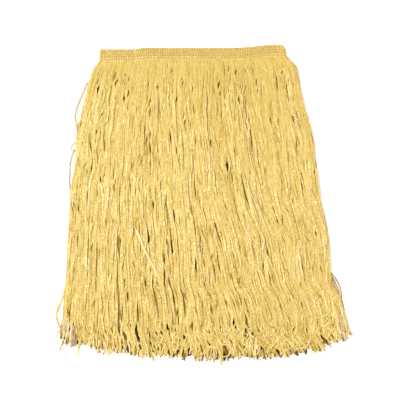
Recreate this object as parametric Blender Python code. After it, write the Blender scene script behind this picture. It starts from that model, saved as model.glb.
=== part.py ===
"""A grass skirt of crinkled raffia, fastened and laid flat with its front on its back.

The skirt is one chain-stitched band wrapped once round the waist, and a fringe of raffia locks that hangs
from the band's lower edge. It lies on its back: +X is to the right, +Y towards the waist, +Z up from the
surface. The origin is the middle of the footprint, on the surface. Lengths are in metres.

The words used here: "drop" is the distance below the waistband's top edge, "across" runs from -1 at the
left edge of the fringe to 1 at the right, and "along" from 0 at a lock's root to 1 at the lowest ends.
"""

import math

import bmesh
import bpy
import numpy as np

# The waistband: the round of the waist, the band's height and its wall
WAIST_ROUND = 0.80
BAND_HEIGHT = 0.029
BAND_THICKNESS = 0.0024
CHAIN_ROWS = 5
CHAIN_DEPTH = 0.0005

# The closure on the left: the upper end stops at OVER_END, and the lower end goes on under it
OVER_END = -0.126
UNDER_END = -0.090
RAMP_START, RAMP_END = -0.055, -0.084
UNDER_SAG = 0.003
END_DROOP = 0.0024
DROOP_START = -0.098

# The right end of the band stands up in a rounded corner
CREST_RISE = 0.007
CREST_X = 0.178
CREST_SPREAD = 0.052
CORNER_ROUNDING = 0.008
CORNER_START = 0.150

# The fringe: its length in the middle, how much higher the leaning sides end, and the ragged cut
FRINGE_LENGTH = 0.625
HEM_RISE = 0.041
HEM_TILT = 0.008
RAGGED_ENDS = 0.022

# The pile of locks: its height at the band, along the middle and at the sides
PILE_ROOT = 0.0064
PILE_MIDDLE = 0.018
PILE_EDGE = 0.009
PILE_SWELL = 0.17
HEM_THINNING = 0.35

# One lock and the room round it
LOCK_THICKNESS = 0.0022
STRIP_HEIGHT = 0.004
SEAM_GAP = 0.0003
LOCK_GAP = 0.00035
LEAST_SLIT, WIDEST_SLIT = 0.02, 0.24
WANDER = 0.42
TIP_WIDTH, TIP_THICKNESS = 0.45, 0.6
LAYER_INSET = 0.0015
LEAN = 0.055

FOLD_STEPS = 6
BAND_STEP = 0.022
SEED = 26

# The outline of the laid skirt: how far it reaches to each side of the waist's middle at each drop
OUTLINE = [
    {"drop": 0.029, "left": 0.199, "right": 0.201},
    {"drop": 0.047, "left": 0.213, "right": 0.221},
    {"drop": 0.081, "left": 0.226, "right": 0.229},
    {"drop": 0.133, "left": 0.240, "right": 0.240},
    {"drop": 0.201, "left": 0.254, "right": 0.259},
    {"drop": 0.270, "left": 0.261, "right": 0.268},
    {"drop": 0.338, "left": 0.264, "right": 0.277},
    {"drop": 0.407, "left": 0.267, "right": 0.292},
    {"drop": 0.475, "left": 0.271, "right": 0.295},
    {"drop": 0.526, "left": 0.276, "right": 0.314},
    {"drop": 0.578, "left": 0.281, "right": 0.329},
    {"drop": 0.674, "left": 0.292, "right": 0.350},
]

# The four layers of locks, from the surface up. The outer front shows most, so its locks are the finest.
FINE_STATIONS = [0.0, 0.05, 0.12, 0.22, 0.34, 0.47, 0.61, 0.76, 1.0]
PLAIN_STATIONS = [0.0, 0.05, 0.12, 0.22, 0.40, 0.64, 1.0]
LAYERS = [
    {"name": "fringe_back_outer", "locks": 44, "stations": PLAIN_STATIONS},
    {"name": "fringe_back_inner", "locks": 44, "stations": PLAIN_STATIONS},
    {"name": "fringe_front_inner", "locks": 60, "stations": PLAIN_STATIONS},
    {"name": "fringe_front_outer", "locks": 100, "stations": FINE_STATIONS},
]

# Slow waves that the locks follow together: their size as a share of the width, and how many there are
SWAYS = [
    {"size": 0.007, "waves_across": 2.4, "waves_along": 0.7},
    {"size": 0.004, "waves_across": 5.3, "waves_along": -1.1},
]

# Outermost locks that bow away from the rest, each between two drops
STRAYS = [
    {"layer": 0, "side": "left", "start": 0.430, "end": 0.720, "bow": 0.006},
    {"layer": 3, "side": "left", "start": 0.060, "end": 0.230, "bow": 0.013},
    {"layer": 1, "side": "right", "start": 0.430, "end": 0.900, "bow": 0.006},
]

FRINGE_COLOUR = (0.83, 0.61, 0.22)
BAND_COLOUR = (0.80, 0.57, 0.20)

# The band lies in two levels, and in three where its ends overlap
HALF_WAIST = WAIST_ROUND / 4
BACK_LEVEL = BAND_THICKNESS / 2
FRONT_LEVEL = BACK_LEVEL + BAND_THICKNESS + SEAM_GAP
OVERLAP_LIFT = BAND_THICKNESS + SEAM_GAP
FOLD_RADIUS = (FRONT_LEVEL - BACK_LEVEL) / 2
FOLD_X = HALF_WAIST - FOLD_RADIUS - BAND_THICKNESS / 2


def smooth(t):
    """0 up to t = 0, 1 from t = 1 on, and an even S-curve between."""
    t = np.clip(t, 0.0, 1.0)
    return t * t * (3.0 - 2.0 * t)


def raffia_material(name, colour):
    """Straw-yellow raffia film with a soft gloss."""
    material = bpy.data.materials.new(name + "_raffia")
    material.use_nodes = True
    shader = material.node_tree.nodes["Principled BSDF"]
    shader.inputs["Base Color"].default_value = (*colour, 1.0)
    shader.inputs["Roughness"].default_value = 0.45
    return material


def new_object(name, build_mesh, colour, parent):
    """An object under the parent empty whose mesh build_mesh(bm) makes, smooth but for sharp edges."""
    bm = bmesh.new()
    build_mesh(bm)
    bmesh.ops.recalc_face_normals(bm, faces=bm.faces)
    mesh = bpy.data.meshes.new(name)
    bm.to_mesh(mesh)
    bm.free()
    mesh.materials.append(raffia_material(name, colour))
    mesh.shade_smooth()
    mesh.set_sharp_from_angle(angle=math.radians(35))
    obj = bpy.data.objects.new(name, mesh)
    bpy.context.scene.collection.objects.link(obj)
    obj.parent = parent
    return obj


def join_rings(bm, first, second):
    """Quads between two rings of the same number of vertices."""
    count = len(first)
    for n in range(count):
        after = (n + 1) % count
        bm.faces.new((first[n], first[after], second[after], second[n]))


def crest_shift(x):
    """How far towards +Y the right end of the band rises, as a bell-shaped crest."""
    return CREST_RISE * np.exp(-(((x - CREST_X) / CREST_SPREAD) ** 2))


def over_shift(x):
    """How far towards +Y the upper front of the band lies: its upper end droops to meet the lower one."""
    return crest_shift(x) - END_DROOP * smooth((DROOP_START - x) / (DROOP_START - OVER_END))


def under_shift(x):
    """The same for the back and the lower end, which sag a little on the left."""
    return crest_shift(x) - UNDER_SAG * smooth((-0.04 - x) / 0.06)


def front_level(x):
    """The height of the front's middle line, which climbs over the lower end towards OVER_END."""
    return FRONT_LEVEL + OVERLAP_LIFT * smooth((RAMP_START - x) / (RAMP_START - RAMP_END))


def spaced(start, end):
    """Evenly spaced places from start to end, about BAND_STEP apart, without the last."""
    steps = max(2, round(abs(end - start) / BAND_STEP))
    return np.linspace(start, end, steps, endpoint=False)


def flat_run(places, level, out_z, shift, ribs):
    """Stations of a stretch that lies flat and faces up (out_z = 1) or down (-1)."""
    return [
        {"x": x, "z": level(x), "out_x": 0.0, "out_z": out_z, "shift": shift(x), "ribs": ribs}
        for x in places
    ]


def fold_run(centre, first_angle):
    """Stations of a half turn round one side. The ribs fade out towards the back, which lies flat."""
    stations = []
    for step in range(FOLD_STEPS):
        turn = math.radians(first_angle + 180.0 * step / FOLD_STEPS)
        out_x, out_z = math.cos(turn), math.sin(turn)
        stations.append(
            {
                "x": centre + FOLD_RADIUS * out_x,
                "z": BACK_LEVEL + FOLD_RADIUS * (1.0 + out_z),
                "out_x": out_x,
                "out_z": out_z,
                "shift": under_shift(centre),
                "ribs": (1.0 + out_z) / 2.0,
            }
        )
    return stations


def band_stations():
    """The band's path from its lower end, round the left fold, the back and the right fold, to its upper end.

    Each station has the x and z of the wall's middle line, its outward normal, its shift towards +Y,
    and the share of the chain rows' depth.
    """
    stations = flat_run(spaced(UNDER_END, -FOLD_X), lambda x: FRONT_LEVEL, 1.0, under_shift, 1.0)
    stations += fold_run(-FOLD_X, 90.0)
    stations += flat_run(spaced(-FOLD_X, FOLD_X), lambda x: BACK_LEVEL, -1.0, under_shift, 0.0)
    stations += fold_run(FOLD_X, 270.0)
    stations += flat_run(spaced(FOLD_X, RAMP_START), front_level, 1.0, over_shift, 1.0)
    ramp = np.linspace(RAMP_START, RAMP_END, 5, endpoint=False)
    stations += flat_run(ramp, front_level, 1.0, over_shift, 1.0)
    stations += flat_run(np.linspace(RAMP_END, OVER_END, 4), front_level, 1.0, over_shift, 1.0)
    return stations


def band_section(station):
    """The band's outline at one station: a plain inner face, and the chain rows as ridges outside."""
    half = BAND_THICKNESS / 2
    points = [(1.0, -half), (0.0, -half)]
    for number, up in enumerate(np.linspace(0.0, 1.0, 2 * CHAIN_ROWS + 1)):
        in_groove = number % 2 == 0
        points.append((up, half - CHAIN_DEPTH * station["ribs"] * in_groove))
    near_corner = smooth((station["x"] - CORNER_START) / (HALF_WAIST - CORNER_START))
    ring = []
    for up, outward in points:
        x = station["x"] + outward * station["out_x"] - CORNER_ROUNDING * near_corner * up**3
        y = station["shift"] - BAND_HEIGHT * (1.0 - up)
        ring.append((x, y, station["z"] + outward * station["out_z"]))
    return ring


def build_waistband(bm):
    """The chain-stitched band, one wall swept along its path, with both of its ends closed."""
    rings = [[bm.verts.new(point) for point in band_section(station)] for station in band_stations()]
    for before, after in zip(rings, rings[1:]):
        join_rings(bm, before, after)
    bm.faces.new(rings[0])
    bm.faces.new(rings[-1])


def outline_reach(side, drop):
    """How far the laid skirt reaches to one side at each drop, read between the rows of OUTLINE."""
    drops = [row["drop"] for row in OUTLINE]
    return np.interp(drop, drops, [row[side] for row in OUTLINE])


def layer_room(x, along):
    """The height of one layer's share of the pile at each place.

    The pile is crowned across, swells below the band and is thinner again at the hem.
    """
    drop = BAND_HEIGHT + along * FRINGE_LENGTH
    reach = np.where(x < 0.0, outline_reach("left", drop), outline_reach("right", drop))
    across = np.clip(np.abs(x) / reach, 0.0, 1.0)
    crown = PILE_EDGE + (PILE_MIDDLE - PILE_EDGE) * (1.0 - across**3)
    crown = crown * (1.0 - HEM_THINNING * smooth((along - 0.6) / 0.4))
    pile = PILE_ROOT + (crown - PILE_ROOT) * smooth(along / PILE_SWELL)
    return pile / len(LAYERS)


def settled(noise):
    """Noise that changes more evenly along each lock: each station is averaged with its neighbours."""
    wide = np.pad(noise, ((0, 0), (1, 1)), mode="edge")
    return (wide[:, :-2] + 2.0 * wide[:, 1:-1] + wide[:, 2:]) / 4.0


def dividing_lines(number, layer, rng):
    """Where the lines between the locks of a layer run, as x over (line, station).

    They start evenly spaced at the band, wander by less than half a lock, and sway and lean to the right
    together further down, so that they never cross.
    """
    count = layer["locks"]
    along = np.array(layer["stations"])
    drop = BAND_HEIGHT + along * FRINGE_LENGTH
    inset = number * LAYER_INSET * smooth(along / PILE_SWELL)
    left = -outline_reach("left", drop) + inset
    right = outline_reach("right", drop) - inset
    even = np.linspace(0.0, 1.0, count + 1)[:, None]
    wander = settled(rng.uniform(-WANDER, WANDER, (count + 1, along.size))) / count
    wander[[0, -1]] = 0.0
    share = even + wander * smooth(along / 0.15)
    for sway in SWAYS:
        phase = sway["waves_across"] * even + sway["waves_along"] * along + 0.31 * number
        wave = sway["size"] * np.sin(math.pi * even) * np.sin(2.0 * math.pi * phase)
        share = share + wave * smooth(along / 0.4)
    share = share + LEAN * np.sin(math.pi * even) * smooth((along - 0.1) / 0.9)
    return left + (right - left) * share


def lock_corners(number, layer):
    """The corners of every lock of a layer at every station, as arrays over (lock, station).

    Each lock lies between two dividing lines, a gap in from each, and inside its own layer's share of
    the pile's height, so that no lock meets another. It slants to one side within that share. The
    lowest layer has a flat underside, which rests on the surface.
    """
    rng = np.random.default_rng(SEED + number)
    along = np.array(layer["stations"])[None, :]
    lines = dividing_lines(number, layer, rng)
    slit = settled(rng.uniform(LEAST_SLIT, WIDEST_SLIT, (layer["locks"], along.size)))
    gap = (LOCK_GAP + slit * np.diff(lines, axis=0) * smooth(along / 0.1)) * (along > 0)
    slant = settled(rng.uniform(-0.32, 0.32, gap.shape))
    rise = settled(rng.uniform(-0.15, 0.15, gap.shape))
    corners = {"along": along}
    for side, x, tilt in (("left", lines[:-1] + gap / 2, slant), ("right", lines[1:] - gap / 2, -slant)):
        room = layer_room(x, along)
        thickness = np.minimum(LOCK_THICKNESS, room - SEAM_GAP)
        free = np.maximum(room - thickness - SEAM_GAP, 0.0)
        low = room * number + free * (0.5 + rise + tilt)
        high = low + thickness
        corners[side] = {"x": x, "low": low * (number > 0), "high": high}
    middle = (lines[:-1] + lines[1:]) / 2
    settle = 1.0 - smooth(along / 0.4)
    corners["y"] = under_shift(middle) * settle - BAND_HEIGHT - along * FRINGE_LENGTH
    corners["ends"] = lock_ends(middle[:, -1], rng)
    bow_strays(number, corners)
    return corners


def lock_ends(x, rng):
    """How far along each lock ends, from the hem's arc and the ragged cut."""
    across = x / np.where(x < 0.0, OUTLINE[-1]["left"], OUTLINE[-1]["right"])
    ends = FRINGE_LENGTH - HEM_RISE * across**2 - HEM_TILT * across
    ends = ends + rng.uniform(-0.5, 0.5, x.shape) * RAGGED_ENDS
    return ends / FRINGE_LENGTH


def bow_strays(number, corners):
    """Bows the outermost lock of a side out between two drops."""
    for stray in STRAYS:
        if stray["layer"] != number:
            continue
        lock, outward = (0, -1.0) if stray["side"] == "left" else (-1, 1.0)
        drop = -corners["y"][lock]
        share = np.clip((drop - stray["start"]) / (stray["end"] - stray["start"]), 0.0, 1.0)
        bow = outward * stray["bow"] * np.sin(math.pi * share)
        corners["left"]["x"][lock] += bow
        corners["right"]["x"][lock] += bow


def lock_ring(corners, lock, station):
    """The four corners of a lock at one station, round from the lower left."""
    left, right = corners["left"], corners["right"]
    place = (lock, station)
    y = corners["y"][place]
    return np.array(
        [
            (left["x"][place], y, left["low"][place]),
            (right["x"][place], y, right["low"][place]),
            (right["x"][place], y, right["high"][place]),
            (left["x"][place], y, left["high"][place]),
        ]
    )


def tip_ring(corners, lock):
    """A lock's end: part of the way along its last stretch, drawn in to a narrow and thinner tip."""
    before = lock_ring(corners, lock, -2)
    after = lock_ring(corners, lock, -1)
    start, end = corners["along"][0, -2], corners["along"][0, -1]
    ring = before + (after - before) * (corners["ends"][lock] - start) / (end - start)
    centre = ring.mean(axis=0)
    ring[:, 0] = centre[0] + (ring[:, 0] - centre[0]) * TIP_WIDTH
    ring[2:, 2] = ring[1::-1, 2] + (ring[2:, 2] - ring[1::-1, 2]) * TIP_THICKNESS
    return ring


def build_strip(bm, corners):
    """The narrow strip that the locks' roots are fused into. Returns its lower edge's pairs of vertices."""
    left, right = corners["left"], corners["right"]
    edge = {name: np.append(left[name][:, 0], right[name][-1, 0]) for name in ("x", "low", "high")}
    rails = []
    for x, low, high in zip(edge["x"], edge["low"], edge["high"]):
        top = under_shift(x) - BAND_HEIGHT - SEAM_GAP
        outline = [
            (x, top - STRIP_HEIGHT, low),
            (x, top - STRIP_HEIGHT, high),
            (x, top, high),
            (x, top, low),
        ]
        rails.append([bm.verts.new(point) for point in outline])
    for a, b in zip(rails, rails[1:]):
        for n in (1, 2, 3):
            after = (n + 1) % 4
            bm.faces.new((a[n], b[n], b[after], a[after]))
    bm.faces.new(rails[0])
    bm.faces.new(rails[-1])
    return [(rail[0], rail[1]) for rail in rails]


def build_fringe(number, layer):
    """A function that builds one layer: its strip under the band, and the locks that hang from it."""

    def build_mesh(bm):
        corners = lock_corners(number, layer)
        edge = build_strip(bm, corners)
        for lock in range(layer["locks"]):
            (low_left, high_left), (low_right, high_right) = edge[lock], edge[lock + 1]
            ring = [low_left, low_right, high_right, high_left]
            points = [lock_ring(corners, lock, station) for station in range(1, len(layer["stations"]) - 1)]
            for outline in points + [tip_ring(corners, lock)]:
                following = [bm.verts.new(point) for point in outline]
                join_rings(bm, ring, following)
                ring = following
            bm.faces.new(ring)

    return build_mesh


def centre_footprint(parent, objects):
    """Moves the skirt so that the middle of its footprint is over the origin."""
    points = np.array([vertex.co[:] for obj in objects for vertex in obj.data.vertices])
    middle = (points.min(axis=0) + points.max(axis=0)) / 2.0
    parent.location = (-middle[0], -middle[1], 0.0)


def main():
    for obj in list(bpy.data.objects):
        bpy.data.objects.remove(obj)
    skirt = bpy.data.objects.new("grass_skirt", None)
    bpy.context.scene.collection.objects.link(skirt)
    objects = [new_object("waistband", build_waistband, BAND_COLOUR, skirt)]
    for number, layer in enumerate(LAYERS):
        objects.append(new_object(layer["name"], build_fringe(number, layer), FRINGE_COLOUR, skirt))
    centre_footprint(skirt, objects)


main()
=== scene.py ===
# %% [markdown]
# # A raffia grass skirt, laid flat
# The skirt is a chain-stitched band with a long fringe of crinkled raffia. It is photographed from straight
# above, lying on its back. The solid model gives every layer of the fringe its place. Here each layer is
# laid again as hundreds of separate strips, each a thin folded ribbon, because the skirt's whole look is in
# how the strips gather into locks, part into dark slits and catch the light on their creases.

# %% Load the solid model
import math

import bmesh
import bpy
import numpy as np
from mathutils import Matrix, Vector


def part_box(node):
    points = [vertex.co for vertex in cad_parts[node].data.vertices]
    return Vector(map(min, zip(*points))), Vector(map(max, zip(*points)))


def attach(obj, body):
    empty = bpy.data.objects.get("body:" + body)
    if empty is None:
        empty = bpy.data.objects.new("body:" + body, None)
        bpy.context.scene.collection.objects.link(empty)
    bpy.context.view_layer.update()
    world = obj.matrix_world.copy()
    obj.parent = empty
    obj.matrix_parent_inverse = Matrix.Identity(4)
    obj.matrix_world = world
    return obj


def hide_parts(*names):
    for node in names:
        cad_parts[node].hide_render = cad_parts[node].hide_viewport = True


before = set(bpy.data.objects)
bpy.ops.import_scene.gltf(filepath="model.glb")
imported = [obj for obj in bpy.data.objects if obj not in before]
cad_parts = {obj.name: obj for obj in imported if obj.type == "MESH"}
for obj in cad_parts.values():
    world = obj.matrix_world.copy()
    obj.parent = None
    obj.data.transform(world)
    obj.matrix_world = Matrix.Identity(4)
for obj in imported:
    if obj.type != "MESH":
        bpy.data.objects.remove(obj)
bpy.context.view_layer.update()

# %% [markdown]
# ## Where things lie
# The strips follow the same named sizes as the solid model: the band's height, the outline of the laid
# skirt, and a pile that is crowned across and thins at the hem. "drop" is the distance below the band's top
# edge, "along" runs from 0 at a root to 1 at the lowest ends, and "across" from -1 to 1.

# %% The skirt's sizes, in metres
BAND_HEIGHT, BAND_THICKNESS = 0.029, 0.0024
HALF_WAIST = 0.2
CHAIN_ROWS = 5
OVER_END, UNDER_END = -0.126, -0.090
RAMP_START, RAMP_END = -0.055, -0.084
UNDER_SAG = 0.003
END_DROOP, DROOP_START = 0.0024, -0.098
CREST_RISE, CREST_X, CREST_SPREAD = 0.007, 0.178, 0.052
CORNER_ROUNDING, CORNER_START = 0.008, 0.150
FRINGE_LENGTH, HEM_RISE, HEM_TILT = 0.625, 0.041, 0.008
PILE_ROOT, PILE_MIDDLE, PILE_EDGE = 0.0064, 0.018, 0.009
PILE_SWELL, HEM_THINNING = 0.17, 0.35
WANDER, LEAN, RIGHT_LEAN, FAN = 0.42, 0.055, 0.05, 1.1
EDGE_INSET, LAYER_STEP = 0.0045, 0.0005
SEAM_GAP = 0.0003
SEED = 26

OUTLINE = [
    {"drop": 0.029, "left": 0.199, "right": 0.201},
    {"drop": 0.047, "left": 0.213, "right": 0.221},
    {"drop": 0.081, "left": 0.226, "right": 0.229},
    {"drop": 0.133, "left": 0.240, "right": 0.240},
    {"drop": 0.201, "left": 0.254, "right": 0.259},
    {"drop": 0.270, "left": 0.261, "right": 0.268},
    {"drop": 0.338, "left": 0.264, "right": 0.277},
    {"drop": 0.407, "left": 0.267, "right": 0.292},
    {"drop": 0.475, "left": 0.271, "right": 0.295},
    {"drop": 0.526, "left": 0.276, "right": 0.314},
    {"drop": 0.578, "left": 0.281, "right": 0.329},
    {"drop": 0.674, "left": 0.292, "right": 0.350},
]
FINE_STATIONS = [0.0, 0.05, 0.12, 0.22, 0.34, 0.47, 0.61, 0.76, 1.0]
PLAIN_STATIONS = [0.0, 0.05, 0.12, 0.22, 0.40, 0.64, 1.0]
LAYERS = [
    {"name": "fringe_back_outer", "locks": 44, "stations": PLAIN_STATIONS},
    {"name": "fringe_back_inner", "locks": 44, "stations": PLAIN_STATIONS},
    {"name": "fringe_front_inner", "locks": 60, "stations": PLAIN_STATIONS},
    {"name": "fringe_front_outer", "locks": 100, "stations": FINE_STATIONS},
]
DENTS = [
    {"side": "left", "drop": 0.255, "spread": 0.035, "depth": 0.0045, "from_layer": 0},
    {"side": "right", "drop": 0.506, "spread": 0.018, "depth": 0.0080, "from_layer": 1},
    {"side": "left", "drop": 0.640, "spread": 0.030, "depth": 0.0160, "from_layer": 1},
    {"side": "right", "drop": 0.610, "spread": 0.024, "depth": 0.0110, "from_layer": 1},
]
SWAYS = [
    {"size": 0.007, "waves_across": 2.4, "waves_along": 0.7},
    {"size": 0.004, "waves_across": 5.3, "waves_along": -1.1},
]

band_low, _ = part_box("waistband")
WAIST_X = band_low.x + HALF_WAIST
TOP_Y = band_low.y + BAND_HEIGHT + UNDER_SAG
print("The waist's middle is at x", round(WAIST_X, 4), "and the band's top edge at y", round(TOP_Y, 4))


# %% Forms that the band and the strips share
def smooth(t):
    """0 up to t = 0, 1 from t = 1 on, and an even S-curve between."""
    t = np.clip(t, 0.0, 1.0)
    return t * t * (3.0 - 2.0 * t)


def crest_shift(x):
    """How far up the right end of the band rises, as a bell-shaped crest."""
    return CREST_RISE * np.exp(-(((x - CREST_X) / CREST_SPREAD) ** 2))


def over_shift(x):
    """How far up the upper front of the band lies: its upper end droops to meet the lower one."""
    return crest_shift(x) - END_DROOP * smooth((DROOP_START - x) / (DROOP_START - OVER_END))


def under_shift(x):
    """The same for the back and the lower end, which sag a little on the left."""
    return crest_shift(x) - UNDER_SAG * smooth((-0.04 - x) / 0.06)


def outline_reach(side, drop):
    """The outline's half width on one side, in straight stretches between the rows of OUTLINE."""
    return np.interp(drop, [row["drop"] for row in OUTLINE], [row[side] for row in OUTLINE])


def reach_beside(x, along):
    """The outline's half width on the side that x is on."""
    drop = BAND_HEIGHT + along * FRINGE_LENGTH
    return np.where(x < 0.0, outline_reach("left", drop), outline_reach("right", drop))


def climb_at(x):
    """How far the band's upper end has climbed over the lower one at x."""
    return (BAND_THICKNESS + SEAM_GAP) * smooth((RAMP_START - x) / (RAMP_START - RAMP_END))


def layer_room(x, along):
    """A quarter of the pile's height: a cube across, swelling below the band, thinner at the hem."""
    across = np.clip(np.abs(x) / reach_beside(x, along), 0.0, 1.0)
    crown = PILE_EDGE + (PILE_MIDDLE - PILE_EDGE) * (1.0 - across**3)
    crown = crown * (1.0 - HEM_THINNING * smooth((along - 0.6) / 0.4))
    return (PILE_ROOT + (crown - PILE_ROOT) * smooth(along / PILE_SWELL)) / len(LAYERS)


def smooth_between(stations, values, places):
    """A smooth curve through values at stations: each stretch is a cubic that shares its ends' slopes."""
    stations = np.array(stations)
    slopes = np.gradient(values, stations, axis=-1)
    n = np.clip(np.searchsorted(stations, places, side="right") - 1, 0, stations.size - 2)
    step = stations[n + 1] - stations[n]
    t = (places - stations[n]) / step
    start = values[..., n] * (1 + 2 * t) * (1 - t) ** 2 + slopes[..., n] * step * t * (1 - t) ** 2
    end = values[..., n + 1] * t**2 * (3 - 2 * t) + slopes[..., n + 1] * step * t**2 * (t - 1)
    return start + end


FINE_ALONG = np.linspace(0.0, 1.0, 161)


def lock_lines(number):
    """The lines between a layer's locks, over (line, FINE_ALONG): evenly spaced at the band, then wandering.

    They are the solid model's own lines, drawn smooth: an even share of the width, plus noise that is
    averaged with its neighbours, plus slow sine waves and a lean that the locks follow together. The width
    runs between the outline's two sides, less a small inset and the bell-shaped dents.
    """
    rng = np.random.default_rng(SEED + number)
    layer = LAYERS[number]
    count = layer["locks"]
    along = np.array(layer["stations"])
    even = np.linspace(0.0, 1.0, count + 1)[:, None]
    noise = rng.uniform(-WANDER, WANDER, (count + 1, along.size))
    wide = np.pad(noise, ((0, 0), (1, 1)), mode="edge")
    wander = (wide[:, :-2] + 2.0 * wide[:, 1:-1] + wide[:, 2:]) / 4.0 / count
    wander[[0, -1]] = 0.0
    share = even + wander * smooth(along / 0.15)
    for sway in SWAYS:
        phase = sway["waves_across"] * even + sway["waves_along"] * along + 0.31 * number
        wave = sway["size"] * np.sin(math.pi * even) * np.sin(2.0 * math.pi * phase)
        share = share + wave * smooth(along / 0.4)
    share = share + LEAN * np.sin(math.pi * even) * smooth((along - 0.1) / 0.9)
    share = smooth_between(along, share, FINE_ALONG)
    drop = BAND_HEIGHT + FINE_ALONG * FRINGE_LENGTH
    inset = (EDGE_INSET - number * LAYER_STEP) * smooth(FINE_ALONG / PILE_SWELL)
    edges = {"left": -outline_reach("left", drop) + inset, "right": outline_reach("right", drop) - inset}
    for dent in DENTS:
        inward = dent["depth"] * np.exp(-(((drop - dent["drop"]) / dent["spread"]) ** 2))
        if number >= dent["from_layer"]:
            edges[dent["side"]] = edges[dent["side"]] + inward * (1.0 if dent["side"] == "left" else -1.0)
    return edges["left"] + (edges["right"] - edges["left"]) * share


def read_grid(grid, row, along):
    """The value of a grid at fractional rows and at places along, mixed evenly from the four around it."""
    row = np.clip(row, 0.0, grid.shape[0] - 1.001)
    column = np.clip(along, 0.0, 1.0) * (grid.shape[1] - 1.001)
    r, c = row.astype(int), column.astype(int)
    fr, fc = row - r, column - c
    near = grid[r, c] * (1 - fr) + grid[r + 1, c] * fr
    far = grid[r, c + 1] * (1 - fr) + grid[r + 1, c + 1] * fr
    return near * (1 - fc) + far * fc


# %% [markdown]
# ## Strips as meshes
# A raffia strip is a film a few millimetres wide, creased along its middle and twisted here and there. It
# could be a curve with a bevel, but a curve has one width and no crease. So a strip is a ring of four points,
# its two edges and its crease above and below, carried along its path. All the strips of a layer are one
# array, so that one short piece of numpy makes them all at once.


# %% Build meshes from arrays
def mesh_from_quads(name, points, quads, corner_maps, tone):
    """An object from points and four-cornered faces, with UV maps by corner and a tone for each point."""
    mesh = bpy.data.meshes.new(name)
    mesh.vertices.add(len(points))
    mesh.vertices.foreach_set("co", np.ascontiguousarray(points, np.float32).ravel())
    mesh.loops.add(quads.size)
    mesh.loops.foreach_set("vertex_index", quads.astype(np.int32).ravel())
    mesh.polygons.add(len(quads))
    mesh.polygons.foreach_set("loop_start", np.arange(0, quads.size, 4, dtype=np.int32))
    mesh.update(calc_edges=True)
    mesh.shade_smooth()
    mesh.set_sharp_from_angle(angle=math.radians(50))
    for map_name, corners in corner_maps.items():
        layer = mesh.uv_layers.new(name=map_name)
        layer.data.foreach_set("uv", np.ascontiguousarray(corners, np.float32).ravel())
    attribute = mesh.attributes.new("tone", "FLOAT", "POINT")
    attribute.data.foreach_set("value", np.ascontiguousarray(tone, np.float32).ravel())
    piece = bpy.data.objects.new(name, mesh)
    bpy.context.scene.collection.objects.link(piece)
    return piece


def tube_quads(count, stations, ring):
    """Faces of count closed tubes, each of stations rings with ring points, capped at both ends.

    Returns the faces and, for each corner, its place on the unrolled tube: the tube's number, the place
    round it and the place along it.
    """
    tube = np.arange(count)[:, None, None]
    station = np.arange(stations - 1)[None, :, None]
    k = np.arange(ring)[None, None, :]
    after = (k + 1) % ring
    base = tube * stations * ring
    corners = [(station, k, k), (station, after, k + 1), (station + 1, after, k + 1), (station + 1, k, k)]
    whole = (count, stations - 1, ring)
    walls = [np.broadcast_to(base + s * ring + n, whole) for s, n, _ in corners]
    numbers = np.broadcast_to(tube, whole)
    rounds = [np.broadcast_to(r / ring, whole) for _, _, r in corners]
    lengths = [np.broadcast_to(s / (stations - 1), whole) for s, _, _ in corners]
    faces = [np.stack(walls, -1).reshape(-1, 4)]
    spots = [np.stack([np.stack([numbers] * 4, -1), np.stack(rounds, -1), np.stack(lengths, -1)], -1)]
    spots[0] = spots[0].reshape(-1, 4, 3)
    half = ring // 2
    for n in range(half - 1):
        cap = np.array([n, n + 1, ring - 2 - n, ring - 1 - n])
        for end in (0, stations - 1):
            order = cap if end else cap[::-1]
            faces.append((np.arange(count)[:, None] * stations + end) * ring + order)
            spot = np.zeros((count, 4, 3))
            spot[..., 0] = np.arange(count)[:, None]
            spot[..., 1] = (order[None, :] % ring) / ring
            spot[..., 2] = (end > 0) + np.array([0.0, 0.0, 0.004, 0.004]) * (1 if end else -1)
            faces[-1] = faces[-1].reshape(-1, 4)
            spots.append(spot)
    return np.concatenate(faces), np.concatenate(spots)


def column_map(spots, count, rows):
    """A map that gives every tube its own column, in a few rows of columns, with a little room round it."""
    columns = math.ceil(count / rows)
    number = spots[..., 0]
    u = (number // rows + 0.06 + 0.88 * spots[..., 1]) / columns
    v = (number % rows + 0.02 + 0.96 * spots[..., 2]) / rows
    return np.stack([u, v], -1)


def unit(vectors):
    """The vectors scaled to length 1."""
    return vectors / np.maximum(np.linalg.norm(vectors, axis=-1, keepdims=True), 1e-12)


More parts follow.
